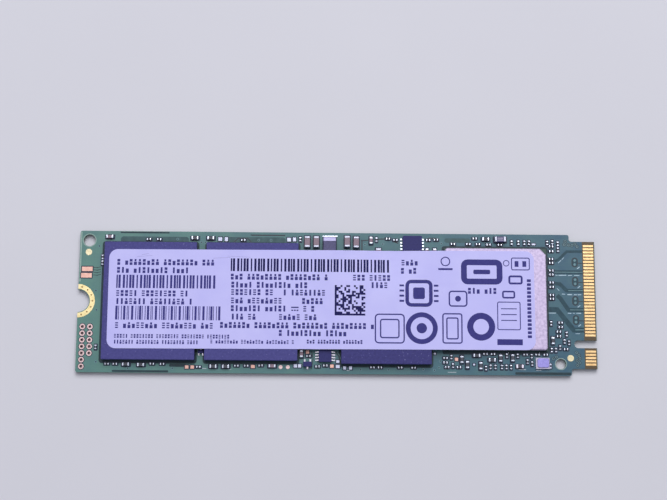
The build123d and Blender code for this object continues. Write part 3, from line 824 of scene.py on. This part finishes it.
TOUCHING = 0.02
SURROUND = 0.14
SURROUND_CORNER = 0.12
SLEEVE_SURROUND = 0.53
chip_nodes = [
    "end_caps_0603", "capacitors_0603", "ferrite_bead", "end_caps_0402", "capacitors_0402", "resistors_0402",
    "end_caps_0201", "chips_0201", "inductor_caps", "inductor_core", "lamp_caps", "lamp_body",
]


def plan_boxes(node):
    """The plan box of each separate body in a node: low x, low y, high x and high y."""
    mesh = frame["nodes"][node].data
    spots = [tuple(round(c / MM, 3) for c in vertex.co) for vertex in mesh.vertices]
    leader = {spot: spot for spot in spots}

    def lead(spot):
        while leader[spot] != spot:
            spot = leader[spot]
        return spot

    for face in mesh.polygons:
        first = lead(spots[face.vertices[0]])
        for index in face.vertices[1:]:
            leader[lead(spots[index])] = first
    bodies = {}
    for spot in leader:
        bodies.setdefault(lead(spot), []).append(spot)
    boxes = []
    for body in bodies.values():
        along, across, _ = zip(*body)
        boxes.append((min(along), min(across), max(along), max(across)))
    return boxes


def footprints(*nodes):
    """The plan boxes of all the bodies in some nodes, from left to right."""
    return sorted(box for node in nodes for box in plan_boxes(node))


def middles(boxes):
    """The middle of each plan box."""
    return [((x0 + x1) / 2, (y0 + y1) / 2) for x0, y0, x1, y1 in boxes]


def joined(boxes):
    """Plan boxes with those that touch made one, from left to right."""
    groups = []
    for box in boxes:
        near = [
            other for other in groups
            if box[0] - TOUCHING < other[2] and other[0] - TOUCHING < box[2]
            and box[1] - TOUCHING < other[3] and other[1] - TOUCHING < box[3]
        ]
        groups = [other for other in groups if other not in near]
        low_x, low_y, high_x, high_y = zip(box, *near)
        groups.append((min(low_x), min(low_y), max(high_x), max(high_y)))
    return sorted(groups)


def surround(box):
    """A field a little larger than a plan box."""
    x0, y0, x1, y1 = box
    length, width = x1 - x0 + 2 * SURROUND, y1 - y0 + 2 * SURROUND
    return bar((x0 + x1) / 2, (y0 + y1) / 2, length, width, corner=SURROUND_CORNER)


sleeve_places = middles(footprints("header_sleeves"))
surrounds = [surround(box) for box in joined(footprints(*chip_nodes))]
surrounds += [surround(box) for box in footprints("solder_pads", "copper_pads")]
surrounds += [disc(x, y, SLEEVE_SURROUND, rim=SURROUND) for x, y in sleeve_places]
mask_piece("chip_surrounds", surrounds, FIELD_TOP, SURROUND_THICK, clearance_and_painted_shade)


# vias, cuts between the copper fields painted almost black as shade, and copper that shines through

VIA_DIMPLE = 0.1
VIA_RADIUS, VIA_RIM = 0.2, 0.08
CLEARANCE_RADIUS, CLEARANCE_RIM = 0.29, 0.08
via_places = [
    (-21.2, 9.3), (-20.6, 9.3), (-37.3, 1.6), (-37.1, -1.4), (-37.0, 8.6), (-36.9, -9.4),
    (4.2, 9.2), (7.0, 9.3), (16.1, 9.5), (15.8, -8.9), (15.6, -9.9), (14.9, -10.3),
    (-6.3, 9.2), (-24.9, 9.8), (-12.3, 9.75), (-10.4, 9.75), (-25.2, -10.3), (-32.0, -10.35),
    (3.6, -10.3), (7.9, -10.3), (13.2, -10.2), (-0.2, -8.3),
]
# vias beside the contacts stand clear of the copper round them
clear_vias = [
    (35.3, 9.45), (35.95, 9.4), (36.5, 9.35), (36.95, 9.55), (37.3, 9.15), (35.45, 9.95),
    (33.68, -8.14), (33.2, -8.4), (36.8, -7.45), (37.15, -7.85), (37.3, -8.3), (36.85, -8.65),
    (37.2, -9.0), (36.9, -9.4),
]

cuts = [
    line([(-16.2, 9.35), (-15.5, 10.0), (-14.0, 10.0), (-13.3, 9.25)], 0.16),
    line([(3.75, 8.2), (3.75, 9.8), (4.7, 9.88)], 0.18),
    line([(5.7, 10.04), (7.4, 10.11)], 0.18),
    line([(-13.4, 10.5), (-8.2, 10.5)], 0.16),
    line([(14.1, 10.3), (15.3, 10.3)], 0.14),
    line([(8.6, 9.75), (9.4, 9.4)], 0.14),
    line([(-3.95, -7.5), (-3.7, -8.6), (-3.95, -10.3)], 0.12),
    line([(-0.25, -7.6), (0.2, -8.2), (0.45, -9.0), (0.6, -9.6)], 0.12),
]
# four fine cuts side by side behind the screw ring
FINE_PITCH, FINE_WIDTH = 0.4, 0.09
for step in range(4):
    drop = step * FINE_PITCH
    cuts.append(line([(-37.8, 5.25 - drop), (-37.2, 5.2 - drop), (-36.6, 5.35 - drop)], FINE_WIDTH))
# a cut round each pair of stitches, and one from it to just beyond the mask
CUT_OVERRUN = 0.05
for x, y in stitch_pairs:
    cuts.append(bar(x, y, 1.0, 1.55, rim=0.14, corner=0.48))
    cuts.append(line([(x + 0.5, y - 0.1), (MASK_END + CUT_OVERRUN, y - 0.15)], 0.14))
# over each via a small dark disc, painted shade in its hole
cuts += [disc(x, y, VIA_DIMPLE) for x, y in via_places + clear_vias]
cuts += [disc(x, y, CLEARANCE_RADIUS, rim=CLEARANCE_RIM) for x, y in clear_vias]
mask_piece("copper_cuts", cuts, FIELD_TOP, CUT_THICK, trench_mask_painted_shade)

# painted glints along the edges of the copper between the lanes, broken as light breaks on them
edges = [
    line([(33.8, 4.62), (34.15, 4.58)], 0.1), line([(34.3, 4.6), (35.5, 4.62)], 0.12),
    line([(35.75, 4.58), (36.4, 4.61)], 0.1), line([(36.7, 4.6), (37.55, 4.6)], 0.11),
    line([(34.75, 1.66), (35.25, 1.64)], 0.12), line([(35.6, 1.58), (36.35, 1.57)], 0.14),
    line([(36.6, 1.56), (37.1, 1.58)], 0.11), line([(37.2, 1.57), (37.75, 1.57)], 0.13),
    line([(35.6, -1.33), (36.15, -1.34)], 0.13), line([(36.9, -1.33), (37.65, -1.32)], 0.12),
    line([(36.35, -1.32), (36.7, -1.33)], 0.08), line([(32.65, -1.32), (33.75, -1.32)], 0.1),
    line([(34.3, 6.55), (34.75, 6.97)], 0.1), line([(34.85, 7.07), (35.2, 7.4)], 0.08),
    line([(34.0, 2.55), (34.35, 2.2)], 0.1), line([(36.7, -4.5), (37.4, -4.5)], 0.08),
]
# a short painted glint below and right of each pair of stitches
edges += [bar(x + 0.55, y - 0.85, 0.5, 0.12, turn=38) for x, y in stitch_pairs]
mask_piece("painted_glints_on_copper_edges", edges, FIELD_TOP, GLINT_THICK, painted_glint_mask)

# traces in the lanes, stitches, short traces elsewhere, a painted highlight down the left end and the rings
# of the vias
STITCH_OFFSET = 0.32
traces = [
    line([(33.7, 5.1), (MASK_END, 5.1)], 0.1),
    line([(35.75, 2.22), (MASK_END, 2.22)], 0.11),
    line([(35.95, -0.8), (MASK_END, -0.8)], 0.12),
    line([(36.7, -3.9), (MASK_END, -3.9)], 0.14),
]
for x, y in stitch_pairs:
    traces += [disc(x, y + STITCH_OFFSET, VIA_RADIUS), disc(x, y - STITCH_OFFSET, VIA_RADIUS)]
# the pale line down the left end is a painted highlight on a step of the mask
traces.append(line([(-36.55, 4.9), (-36.55, 1.4)], 0.08))
traces.append(line([(0.0, -7.6), (0.4, -8.2), (0.65, -9.0)], 0.08))
traces += [disc(x, y, VIA_RADIUS, rim=VIA_RIM) for x, y in via_places + clear_vias]
mask_piece("covered_traces", traces, FIELD_TOP, TRACE_THICK, covered_copper)


# the underside: fields between the power layers, feeds behind the contacts, and vias

UNDER_FIELD_BASE = -0.007
UNDER_VIA_BASE, UNDER_VIA_THICK = -0.012, 0.006
under_gaps = [
    bar(-28.0, 9.9, 16.0, 0.6, corner=0.25), bar(-2.0, 9.9, 22.0, 0.5, corner=0.2),
    bar(22.0, -9.9, 18.0, 0.6, corner=0.25), bar(-20.0, -9.9, 24.0, 0.5, corner=0.2),
    bar(-21.0, 0.0, 0.5, 15.0, corner=0.2), bar(-3.0, 1.5, 0.5, 12.0, corner=0.2),
    bar(15.4, 0.6, 0.5, 14.0, corner=0.2),
]
for row in range(5):
    near, far = 5.6 - 2.6 * row, 7.0 - 2.9 * row
    under_gaps.append(line([(20.0, near), (30.5, near), (32.5, far), (37.9, far)], 0.5))
mask_piece("underside_gaps", under_gaps, UNDER_FIELD_BASE, FIELD_THICK, open_mask_darkened_as_shade)

# a row of vias along each edge, and a grid below each package: left, rear, pitch along, columns and rows
EDGE_VIA_RADIUS, EDGE_VIA_RIM = 0.22, 0.08
GRID_VIA_RIM, GRID_ROW_PITCH = 0.07, 1.5
via_grids = [(17.0, 4.0, 1.5, 9, 6), (-34.5, 3.0, 1.6, 8, 5), (-19.0, 3.0, 1.6, 8, 5), (2.0, -1.5, 1.6, 7, 4)]
under_vias = [disc(x, y, EDGE_VIA_RADIUS, rim=EDGE_VIA_RIM) for x in range(-36, 34, 5) for y in (-8.9, 8.9)]
for left, rear, pitch, columns, rows in via_grids:
    under_vias += [
        disc(left + pitch * column, rear - GRID_ROW_PITCH * row, VIA_RADIUS, rim=GRID_VIA_RIM)
        for column in range(columns) for row in range(rows)
    ]
mask_piece("underside_vias", under_vias, UNDER_VIA_BASE, UNDER_VIA_THICK, covered_copper)


# thin trim on the upper face

# laminate laid bare round the tooling holes, and a pale strip along the cut beside the screw notch
rims = [disc(-38.55, 9.5, 1.06, rim=0.1), disc(34.35, -9.2, 0.92, rim=0.09), bar(-39.82, 6.9, 0.18, 7.8)]
mask_piece("drill_rims", rims, BOARD_TOP, FIELD_THICK, bare_laminate)

# stitches in the screw ring, which is centred on the board's end
STITCH_CIRCLE, STITCH_MOUTH, STITCH_THICK = 2.22, 0.13, 0.004
stitch_turns = [math.radians(angle) for angle in range(-75, 76, 25)]
stitches = [
    disc(BOARD_LEFT + STITCH_CIRCLE * math.cos(turn), STITCH_CIRCLE * math.sin(turn), STITCH_MOUTH)
    for turn in stitch_turns
]
flat_piece("ring_stitches", stitches, PLATING_TOP, STITCH_THICK, hole_mouth)

# tinned faces of the two test points, which are the smaller gold dots
LARGEST_TEST_POINT = 0.8
FACE_RADIUS, FACE_THICK = 0.29, 0.006
test_points = [box for box in footprints("gold_dots") if box[2] - box[0] < LARGEST_TEST_POINT]
faces = [disc(x, y, FACE_RADIUS) for x, y in middles(test_points)]
flat_piece("test_point_faces", faces, PLATING_TOP, FACE_THICK, sleeve_tin)

# round lips of the header sleeves
LIP_RADIUS, LIP_RIM, LIP_THICK = 0.43, 0.19, 0.012
lips = [disc(x, y, LIP_RADIUS, rim=LIP_RIM) for x, y in sleeve_places]
flat_piece("sleeve_lips", lips, PLATING_TOP, LIP_THICK, sleeve_tin)

# component print: short plain strokes
STROKE_THICK = 0.006
strokes = [
    bar(28.4, -10.1, 1.1, 0.1), bar(-20.3, -10.3, 0.6, 0.1), bar(30.9, -10.2, 0.8, 0.1),
    bar(1.7, -10.45, 0.5, 0.08), bar(-16.4, -10.4, 0.4, 0.08), bar(17.6, -10.6, 1.3, 0.08),
]
mask_piece("component_print", strokes, BOARD_TOP, STROKE_THICK, print_ink)

# solder beyond the end of the inductor, on top of its surround
LAND_BASE, LAND_THICK = FIELD_TOP + CUT_THICK, 0.03
inductor_land = [bar(-1.22, 10.47, 2.3, 0.16, corner=0.06)]
flat_piece("inductor_land", inductor_land, LAND_BASE, LAND_THICK, solder)

# light bars across the bead: a painted highlight
HIGHLIGHT_OFFSET, HIGHLIGHT_THICK = 0.145, 0.006
[(bead_x, bead_y)] = middles(footprints("ferrite_bead"))
bead_highlight_bars = [bar(bead_x, bead_y + offset, 0.9, 0.1) for offset in (HIGHLIGHT_OFFSET, -HIGHLIGHT_OFFSET)]
flat_piece("bead_painted_highlight", bead_highlight_bars, BEAD_TOP, HIGHLIGHT_THICK, alumina)


# the table

TABLE_SIZE = 3000.0
TABLE_DROP = 0.02
FADE_START, FADE_END = 100.0, 400.0


def seen_rays(owner):
    """1 for rays from the eye, a mirror or glass, and 0 for rays that only carry light."""
    rays = add_node(owner, "ShaderNodeLightPath", {}).outputs
    eye_or_mirror = add_node(
        owner, "ShaderNodeMath", {0: rays["Is Camera Ray"], 1: rays["Is Glossy Ray"]}, operation="MAXIMUM",
    )
    return add_node(
        owner, "ShaderNodeMath",
        {0: eye_or_mirror.outputs[0], 1: rays["Is Transmission Ray"]}, operation="MAXIMUM",
    ).outputs[0]


bpy.ops.object.select_all(action="DESELECT")
bpy.ops.mesh.primitive_plane_add(size=TABLE_SIZE * MM, location=(0, 0, -TABLE_DROP * MM))
table = bpy.context.object
table.name = "table"
bpy.ops.object.transform_apply(location=True, rotation=False, scale=False)
table.data.materials.append(table_paint)

# well away from the drive the table fades into an even backdrop of its own colour
reach = add_node(table_paint, "ShaderNodeVectorMath", {0: place(table_paint)}, operation="LENGTH")
far_off = add_node(
    table_paint, "ShaderNodeMapRange",
    {"Value": reach.outputs["Value"], "From Min": FADE_START, "From Max": FADE_END},
)
fade = add_node(
    table_paint, "ShaderNodeMath",
    {0: far_off.outputs["Result"], 1: seen_rays(table_paint)}, operation="MULTIPLY",
)
backdrop = add_node(table_paint, "ShaderNodeEmission", {"Color": linear("#CFD0DB")})
table_shader = table_paint.node_tree.nodes["Principled BSDF"]
blend = add_node(
    table_paint, "ShaderNodeMixShader",
    {0: fade.outputs[0], 1: table_shader.outputs[0], 2: backdrop.outputs[0]},
)
set_inputs(table_paint, table_paint.node_tree.nodes["Material Output"], {"Surface": blend.outputs[0]})


# the light: a room that is brightest overhead, so that rounded metal and upright sides shade off

world = bpy.data.worlds.new("studio")
bpy.context.scene.world = world
world.use_nodes = True
way = add_node(world, "ShaderNodeTexCoord", {})
up = add_node(world, "ShaderNodeSeparateXYZ", {"Vector": way.outputs["Generated"]}).outputs["Z"]
# the eye and the metals see a bright room, and matt surfaces take less of it
shine = add_node(world, "ShaderNodeMapRange", {"Value": up, "From Min": 0.1, "To Min": 0.5, "To Max": 0.85})
fill = add_node(world, "ShaderNodeMapRange", {"Value": up, "To Min": 0.1, "To Max": 0.48})
level = add_node(
    world, "ShaderNodeMix",
    {"Factor": seen_rays(world), VALUE_A: fill.outputs["Result"], VALUE_B: shine.outputs["Result"]},
)
room = world.node_tree.nodes["Background"]
set_inputs(world, room, {"Color": linear("#EFEFF8"), "Strength": level.outputs[0]})


def panel_lamp(name, at, size, watts, colour):
    """A soft panel of light that faces the drive."""
    bpy.ops.object.light_add(type="AREA", location=[c * MM for c in at])
    light = bpy.context.object
    light.name = name
    light.data.shape = "RECTANGLE"
    light.data.size = size[X] * MM
    light.data.size_y = size[Y] * MM
    light.data.energy = watts
    light.data.color = linear(colour)[:3]
    lean = math.atan2(math.hypot(at[X], at[Y]), at[Z])
    light.rotation_euler = (lean, 0, math.atan2(-at[Y], -at[X]) - math.pi / 2)


panel_lamp("key_panel", at=(60, 450, 700), size=(700, 600), watts=5.4, colour="#FFFFFF")
panel_lamp("side_panel", at=(-450, -250, 450), size=(300, 300), watts=0.15, colour="#F4F4FF")


# the camera, fitted to the board's corners in the photograph

CAMERA_PLACE = (-3.1, -30.8, 211.0)
CAMERA_TURN = (10.53, -0.73, 0.37)
SENSOR_WIDTH = 36.0
NEAREST_SEEN = 10.0
# in pixels
PHOTO_WIDTH, FOCAL_LENGTH = 667, 1375.1

bpy.ops.object.camera_add(
    location=[c * MM for c in CAMERA_PLACE], rotation=[math.radians(angle) for angle in CAMERA_TURN],
)
camera = bpy.context.object
camera.data.sensor_width = SENSOR_WIDTH
camera.data.lens = SENSOR_WIDTH * FOCAL_LENGTH / PHOTO_WIDTH
camera.data.clip_start = NEAREST_SEEN * MM
bpy.context.scene.camera = camera
bpy.context.scene.view_settings.view_transform = "Standard"
